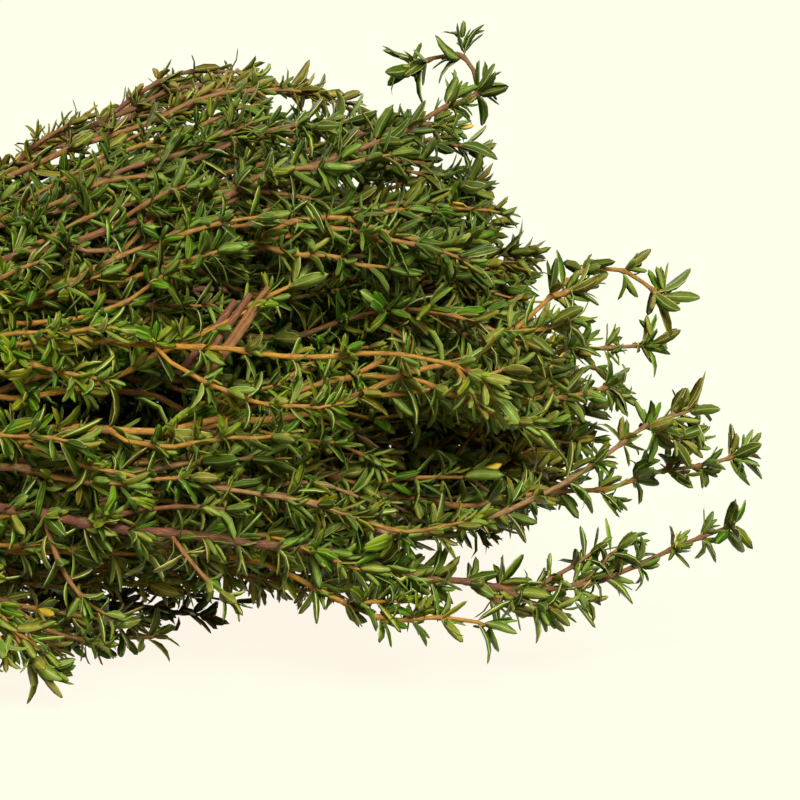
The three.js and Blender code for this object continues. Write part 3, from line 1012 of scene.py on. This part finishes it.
def leaf_top(nodes, across, along, tint, age):
    """Green by its tint, fresh when young and dark with age, which on the inner sprigs is painted shade
    inside the bunch, with patches, streaks and painted shade along the groove beside the rib.
    """
    patch = nodes.noise(nodes.object_coordinates(), scale=140)
    each_leaf = nodes.math("MULTIPLY", nodes.math("ADD", tint, age), STREAK_VARIETY)
    along_leaf = nodes.vector(across, nodes.math("MULTIPLY", along, STREAK_PACE), each_leaf)
    streaks = nodes.noise(along_leaf, scale=2.6, detail=3)
    from_groove_shade = nodes.math("ABSOLUTE", nodes.math("SUBTRACT", across, GROOVE_SHADE_PLACE))
    old_and_shade = nodes.mix(nodes.ramp(tint, 0.15, 0.6), TOP_OLD_AND_SHADE_BROWN, TOP_OLD_AND_SHADE_GREEN)
    return nodes.layered(
        TOP_OCHRE,
        (nodes.ramp(tint, 0.0, 0.25), TOP_OLIVE),
        (nodes.ramp(tint, 0.2, 0.55), TOP_GREEN),
        (nodes.ramp(tint, 0.65, 1.0), TOP_DEEP),
        (nodes.ramp(age, 0.0, 0.5, 0.5, 0.0), TOP_YOUNG),
        (nodes.ramp(age, 0.5, 1.0, 0.0, 0.88), old_and_shade),
        (nodes.ramp(patch, 0.46, 0.66, 0.0, 0.4), TOP_PATCH),
        (nodes.ramp(streaks, 0.3, 0.5, 0.85, 0.0), TOP_DARK_STREAK),
        (nodes.ramp(streaks, 0.55, 0.72, 0.0, 0.62), TOP_LIGHT_STREAK),
        # painted shade along the groove beside the rib
        (nodes.ramp(from_groove_shade, 0.05, 0.3, 0.5, 0.0), TOP_GROOVE_SHADE),
    )


def leaf_underside(nodes, tint, age, mottle):
    """Paler and greyer than the top, and dark with age, which on the inner sprigs is painted shade inside
    the bunch.
    """
    old_and_shade = nodes.mix(nodes.ramp(tint, 0.15, 0.6), UNDER_OLD_AND_SHADE_BROWN, UNDER_OLD_AND_SHADE_GREEN)
    return nodes.layered(
        UNDER_OCHRE,
        (nodes.ramp(tint, 0.0, 1.0), UNDER_GREEN),
        (nodes.ramp(mottle, 0.4, 0.7, 0.0, 0.5), UNDER_MOTTLE),
        (nodes.ramp(age, 0.5, 1.0, 0.0, 0.85), old_and_shade),
    )


def leaf_material():
    """Waxy, green on top and paler below, with a fine pale midrib and stalk, and a pale margin that is
    partly a painted highlight.
    """
    nodes = Nodes("thyme_leaf")
    across, along, under, tint = nodes.channels("blade")
    age, dying, veins, _ = nodes.channels("life")
    mottle = nodes.noise(nodes.object_coordinates(), scale=900, detail=3)
    rib = nodes.math("MULTIPLY", nodes.ramp(across, 0.0, 0.12, 0.55, 0.0), veins)
    # The margin: partly its own pale colour, partly a painted highlight.
    rim_and_highlight = nodes.math("MULTIPLY", nodes.ramp(across, 0.86, 0.98, 0.0, 0.75), veins)
    underside = nodes.mix(rib, leaf_underside(nodes, tint, age, mottle), UNDER_RIB)
    colour = nodes.layered(
        leaf_top(nodes, across, along, tint, age),
        (rib, TOP_RIB),
        (nodes.ramp(under, 0.5, 0.8), underside),
        (rim_and_highlight, LEAF_RIM_AND_HIGHLIGHT),
        (nodes.ramp(along, 0.0, 0.16, 0.7, 0.0), LEAF_STALK),
        (dying, LEAF_DYING),
    )
    nodes.surface("Base Color", colour)
    nodes.surface("Roughness", nodes.ramp(mottle, 0.3, 0.7, 0.28, 0.45))
    nodes.surface("Specular IOR Level", PLANT_SPECULAR)
    nodes.surface("Specular Tint", LEAF_SPECULAR_TINT)
    nodes.bump(mottle, 0.3, FINE_BUMP)
    return nodes.material


def stem_material():
    """Fibrous bark from ochre to red-brown, greener towards the tips, pale where it was cut."""
    nodes = Nodes("thyme_stem")
    fibre = nodes.attribute("fibre")
    bark, young, cut, scatter = nodes.channels("bark_tone")
    stretch = nodes.tree.nodes.new("ShaderNodeMapping")
    stretch.inputs["Scale"].default_value = FIBRE_SCALE
    nodes.tree.links.new(fibre.outputs["Vector"], stretch.inputs["Vector"])
    lines = nodes.noise(stretch.outputs[0], scale=2.6, detail=4, roughness=0.65)
    patches = nodes.noise(fibre.outputs["Vector"], scale=0.35)
    colour = nodes.layered(
        BARK_OCHRE,
        (nodes.ramp(bark, 0.1, 0.55), nodes.mix(scatter, *BARK_TANS)),
        (nodes.ramp(bark, 0.55, 0.9), nodes.mix(scatter, *BARK_REDS)),
        (nodes.ramp(patches, 0.4, 0.7, 0.0, 0.5), BARK_PATCH),
        (nodes.ramp(young, 0.3, 1.0, 0.0, 0.35), BARK_YOUNG),
        (nodes.ramp(lines, 0.56, 0.7, 0.0, 0.45), BARK_LIGHT_FIBRE),
        (nodes.ramp(lines, 0.36, 0.52, 0.75, 0.0), BARK_DARK_FIBRE),
        (nodes.ramp(fibre.outputs["Alpha"], 0.2, 0.9, 0.0, 0.45), BARK_KNOT),
        (nodes.ramp(cut, 0.5, 0.9), CUT_WOOD),
    )
    nodes.surface("Base Color", colour)
    nodes.surface("Roughness", BARK_ROUGHNESS)
    nodes.surface("Specular IOR Level", PLANT_SPECULAR)
    nodes.bump(lines, 0.7, FIBRE_BUMP)
    return nodes.material


def rubber_material():
    """Natural tan rubber with a dusty bloom."""
    nodes = Nodes("band_rubber")
    bloom = nodes.noise(nodes.object_coordinates(), scale=700, detail=4)
    nodes.surface("Base Color", nodes.mix(nodes.ramp(bloom, 0.35, 0.7), RUBBER, RUBBER_BLOOM))
    nodes.surface("Roughness", nodes.ramp(bloom, 0.3, 0.7, 0.5, 0.75))
    nodes.bump(bloom, 0.3, FINE_BUMP)
    return nodes.material


# ---------------------------------------------------------------- the bunch

# The sprigs that are seen on their own, most of them on the side towards the camera.
SHOWN = {
    "sprig_woody": Habit(
        girth=1.5, bark=0.95, gaps=(6.5, 5.0), leaf=7.0, tint=0.8, age=0.85, tuft_pairs=3,
        shoots=6, bare_tip=60,
        forks=(Fork(37, 14, UP, 5), Fork(28, 12, UP, 4), Fork(50, 14, DOWN, 4),
               Fork(42, 12, DOWN - 0.4, 3.5), Fork(34, 10, DOWN, 3), Fork(116, 19, DOWN - 0.3, 14),
               Fork(98, 15, DOWN - 0.5, 10), Fork(132, 16, DOWN - 0.2, 11))),
    "sprig_ochre": Habit(
        girth=1.15, bark=0.0, gaps=(7.5, 5.0), leaf=7.2, tint=0.7, age=0.75,
        shoots=4, bare_tip=35, forks=(Fork(22, 9, UP, 3),)),
    "sprig_level": Habit(
        bark=0.05, gaps=(9.0, 7.5), leaf=5.8, tint=0.6, shoots=2, bare_tip=50,
        forks=(Fork(9, 8, DOWN, 3), Fork(6, 7, FRONT, 3), Fork(118, 30, UP + 0.9, 9),
               Fork(104, 26, UP + 0.6, 9), Fork(92, 30, FRONT, 5), Fork(84, 20, DOWN - 0.7, 8),
               Fork(58, 34, DOWN - 0.25, 8))),
    "sprig_right_reach": Habit(
        girth=1.15, bark=0.25, gaps=(8.5, 6.5), leaf=7.2, tint=0.68, age=0.85, shoots=3, bare_tip=60,
        forks=(Fork(54, 16, DOWN - 0.2, 7), Fork(46, 11, DOWN, 5), Fork(36, 9, DOWN + 0.3, 3),
               Fork(58, 18, DOWN + 0.2, 6), Fork(31, 10, DOWN - 0.2, 5), Fork(26, 7, DOWN - 0.3, 3),
               Fork(130, 30, UP + 0.8, 8), Fork(112, 30, DOWN - 0.8, 8))),
    "sprig_right_high": Habit(
        girth=1.15, bark=0.45, gaps=(7.5, 5.0), leaf=7.0, tint=0.65, age=0.85, tuft_pairs=3,
        shoots=6, shoot_reach=4.5, bare_tip=60, forks=(Fork(8, 9, DOWN, 5),)),
    "sprig_16": Habit(
        bark=0.6, gaps=(7.5, 5.0), leaf=7.0, tint=0.7, age=0.85, tuft_pairs=3, shoots=6, bare_tip=40,
        forks=(Fork(16, 9, UP, 5),)),
    "sprig_25": Habit(gaps=(8.0, 6.0), tint=0.6, age=0.8, tuft_pairs=3, shoots=5, bare_tip=35),
    "sprig_23": Habit(
        bark=0.3, gaps=(4.5, 3.0), tint=0.75, age=0.6, shoots=11, shoot_reach=7.0, bare_tip=12,
        branches=2),
    "sprig_diagonal": Habit(
        bark=0.05, gaps=(9.0, 6.5), tint=0.6, shoots=6, sway=0.5,
        stubs=(Stub(20, 14, -5.6, 1.0, 5.0), Stub(21, 12, -4.6, 1.2, 4.4),
               Stub(20, 11, -6.4, -1.2, 5.4), Stub(22.5, 11, -3.6, 1.4, 3.8))),
    "sprig_33": Habit(gaps=(7.0, 4.5), tint=0.9, age=1.05, shoots=10, trim=3, drop=2.0),
    "sprig_ridge": Habit(
        bark=0.45, leaf=6.2, lean=0.6, tint=0.7, age=1.1, shoots=6, shoot_reach=4.5, trim=4, drop=2.3),
    "sprig_upper_red": Habit(
        girth=0.9, bark=0.9, leaf=6.4, lean=0.65, tint=0.85, age=1.1, shoots=8, shoot_reach=5.0, trim=3),
    "sprig_curl": Habit(
        girth=1.15, bark=0.75, gaps=(8.0, 6.5), leaf=7.0, tint=0.85, age=1.0, tuft_pairs=4, bare_tip=45,
        forks=(Fork(72, 24, DOWN, 8), Fork(62, 22, DOWN + 0.4, 9), Fork(56, 13, DOWN, 5),
               Fork(90, 26, DOWN - 0.4, 9))),
    "sprig_crest": Habit(
        bark=0.85, leaf=5.4, lean=0.45, tint=0.05, age=0.95, shoots=5, shoot_reach=2.5, trim=4, drop=3.2),
    "sprig_top": Habit(
        bark=0.6, leaf=5.8, lean=0.6, tint=0.1, age=0.95, shoots=5, shoot_reach=3.0, trim=2, drop=1.2),
    "sprig_top_back": Habit(
        bark=0.7, leaf=5.8, lean=0.55, tint=0.3, age=1.0, shoots=5, shoot_reach=3.5, trim=6, drop=2.0),
    "sprig_39": Habit(gaps=(7.0, 4.5), tint=0.9, age=1.05, tuft_pairs=3, shoots=10, sway=1.5, trim=10),
    "sprig_40": Habit(
        bark=0.7, gaps=(7.0, 4.5), tint=0.9, age=1.05, tuft_pairs=3, shoots=10, shoot_reach=5.0,
        sway=1.5, trim=2, drop=1.0),
    "sprig_41": Habit(
        bark=0.6, gaps=(7.0, 4.5), leaf=6.6, tint=0.75, age=1.15, shoots=13, shoot_reach=6.5,
        detail="far"),
    "sprig_42": Habit(
        bark=0.7, gaps=(7.0, 4.5), leaf=6.6, tint=0.8, age=1.15, shoots=14, shoot_reach=7.0, trim=4,
        drop=0.5, detail="far"),
    "sprig_upper_fan": Habit(bark=0.4, tint=0.9, age=1.0, shoots=9, branches=3),
    "sprig_table_hook": Habit(
        bark=0.3, gaps=(6.0, 4.5), leaf=7.2, tint=0.65, age=0.4, shoots=4, bare_tip=22, trim=6,
        drop=-1.0, forks=(Fork(10, 7, UP, 3), Fork(16, 8, FRONT + 0.5, 4), Fork(20, 9, DOWN, 4))),
    "sprig_low_front": Habit(
        bark=0.35, gaps=(6.5, 5.0), leaf=6.0, age=0.85, shoots=6, trim=3, drop=-1.0,
        forks=(Fork(22, 12, DOWN, 6),)),
    "sprig_01": Habit(gaps=(5.5, 4.5), leaf=6.6, age=0.9, shoot_reach=3.0, trim=5, drop=-1.0),
    "sprig_02": Habit(
        bark=0.6, gaps=(5.5, 4.5), leaf=6.6, age=0.85, shoots=6, shoot_reach=3.0, trim=13,
        detail="far"),
}

# Where a sprig lies in the bunch's section, as y and z, decides how it grows if it isn't in SHOWN.
SECTION_FROM_X = -15 * MM  # past the shoulder, where the bunch has opened
SECTION_MIDDLE = np.array([8.6, 43.0]) * MM
SECTION_HALF = np.array([36.0, 40.0]) * MM
INNER_REACH = 0.62  # in half sections
FRONT_Y = -12 * MM
LOW_Z = 27 * MM
BRANCHY_Z = 34 * MM
GREENER_FROM = 0.3  # in half sections above the middle
# Leaves are older away from the middle's height, and much more so above it than below.
YOUNGEST, OLDER_ABOVE, OLDER_BELOW = (0.08, 0.5), 1.4, 0.2
# INNER_TINT leans olive, so the inner sprigs' painted shade is brown-green.
INNER_TINT, GREENER_TINT, PLAIN_TINT = (0.0, 0.45), (0.55, 1.0), (0.15, 0.9)
INNER_LEAF = 1.15
INNER_REACHES = {"low": 5.0, "high": 9.0}
# The inner sprigs' leaves are all made dark with an age past 1: painted shade inside the bunch.
INNER = dict(detail="inner", tuft_pairs=3, shoots=27, bare_tip=12.0, sway=3.0, trim=2, age=1.15)
LOW = dict(shoots=10, shoot_reach=4.5, bare_tip=16.0, sway=1.5, trim=8, drop=-1.5)
OUTER = dict(shoot_reach=9.0, bare_tip=12.0, sway=3.2, trim=3, broad=0.01)
OUTER_SHOOTS = {"near": 7, "far": 10}
HIGH_BRANCHES = 4
GREENER_LEAN = 0.75
HABIT_SEED, GROWTH_SEED = 1000, 2000


def place_in_section(node):
    """The mean y and z of a sprig past the shoulder."""
    centres = ring_centres(node)
    return np.mean(centres[centres[:, 0] > SECTION_FROM_X], axis=0)[1:]


def plain_habit(node, rng):
    """The habit of a sprig with no look of its own: fine in front, coarse at the back and inside."""
    place = place_in_section(node)
    y, z = place
    build = dict(
        girth=rng.uniform(0.95, 1.3), bark=rng.uniform(0.3, 1),
        gaps=(rng.uniform(6.0, 8.5), rng.uniform(3.2, 5.0)), leaf=rng.uniform(6.0, 7.4))
    if np.linalg.norm((place - SECTION_MIDDLE) / SECTION_HALF) < INNER_REACH:
        build["leaf"] *= INNER_LEAF
        reach = INNER_REACHES["low" if z < LOW_Z else "high"]
        return Habit(**build, **INNER, shoot_reach=reach, tint=rng.uniform(*INNER_TINT))
    height = (z - SECTION_MIDDLE[1]) / SECTION_HALF[1]
    greener = height > GREENER_FROM
    build["detail"] = "near" if y < FRONT_Y else "far"
    build["age"] = rng.uniform(*YOUNGEST) + (OLDER_ABOVE if height > 0 else OLDER_BELOW) * abs(height)
    build["tint"] = rng.uniform(*(GREENER_TINT if greener else PLAIN_TINT))
    if z < LOW_Z:
        return Habit(**build, **LOW)
    if greener:
        build["lean"] = GREENER_LEAN
    branches = HIGH_BRANCHES if z > BRANCHY_Z else 0
    return Habit(**build, **OUTER, shoots=OUTER_SHOOTS[build["detail"]], branches=branches)


def grow_sprig(node, number, stem, leaf):
    """Grows one sprig over its CAD node."""
    habit = SHOWN.get(node) or plain_habit(node, np.random.default_rng(HABIT_SEED + number))
    sprig = Sprig(node, GROWTH_SEED + number, habit)
    sprig.grow()
    sprig.build(stem, leaf)


# ---------------------------------------------------------------- the rubber band

BAND_TURNS = 3
BAND_STRAND = 0.62 * MM
BAND_FLATNESS = 1.05
BAND_INSET = 0.85 * MM  # from the CAD ring's outside to the strand's middle
BAND_SPREAD = 2.7 * MM  # from the first turn to the last
BAND_CROSSES_FROM = 0.88  # the share of its length after which it crosses back over its turns
BAND_CROSSING_LIFT = 1.15 * MM
BAND_POINTS, BAND_SIDES = 180, 10


def band_line(centre, ring):
    """The middle of the strand, as turns side by side that close with a crossing, and its outward ways."""
    angle = np.linspace(0, 2 * math.pi * BAND_TURNS, BAND_POINTS, endpoint=False)
    share = angle / angle[-1]
    back = np.clip((share - BAND_CROSSES_FROM) / (1 - BAND_CROSSES_FROM), 0, 1)
    slide = np.where(share < BAND_CROSSES_FROM, share / BAND_CROSSES_FROM, 1 - back)
    radius = ring - BAND_INSET + BAND_CROSSING_LIFT * np.sin(math.pi * back)
    outward = np.stack([np.zeros_like(angle), np.cos(angle), np.sin(angle)], axis=1)
    points = centre + outward * radius[:, None]
    points[:, 0] += (slide - 0.5) * BAND_SPREAD
    return points, outward


def add_band(material):
    """Three turns of one rubber band over the CAD band."""
    low, high = (np.array(corner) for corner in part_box("rubber_band"))
    points, outward = band_line((low + high) / 2, (high[2] - low[2]) / 2)
    tangent = unit(np.roll(points, -1, axis=0) - np.roll(points, 1, axis=0))
    across = np.cross(tangent, outward) * BAND_FLATNESS
    rings, _ = tube_rings(points, outward, across, np.full(BAND_POINTS, BAND_STRAND), BAND_SIDES)
    parts = MeshParts()
    no_triangles = np.zeros((0, 3), int)
    parts.add(rings.reshape(-1, 3), tube_quads(BAND_POINTS, BAND_SIDES, closed=True), no_triangles)
    band = parts.build("band_turns", material)
    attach(band, "root")
    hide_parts("rubber_band")


def main():
    bpy.context.scene.view_settings.view_transform = "Standard"
    add_camera()
    add_world()
    add_floor()
    add_lamp("key", KEY_FROM, KEY_STRENGTH, KEY_WIDTH)
    add_lamp("fill", FILL_FROM, FILL_STRENGTH, FILL_WIDTH)
    stem, leaf, rubber = stem_material(), leaf_material(), rubber_material()
    sprigs = sorted(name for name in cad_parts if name.startswith("sprig_"))
    for number, node in enumerate(sprigs):
        grow_sprig(node, number, stem, leaf)
    add_band(rubber)


main()
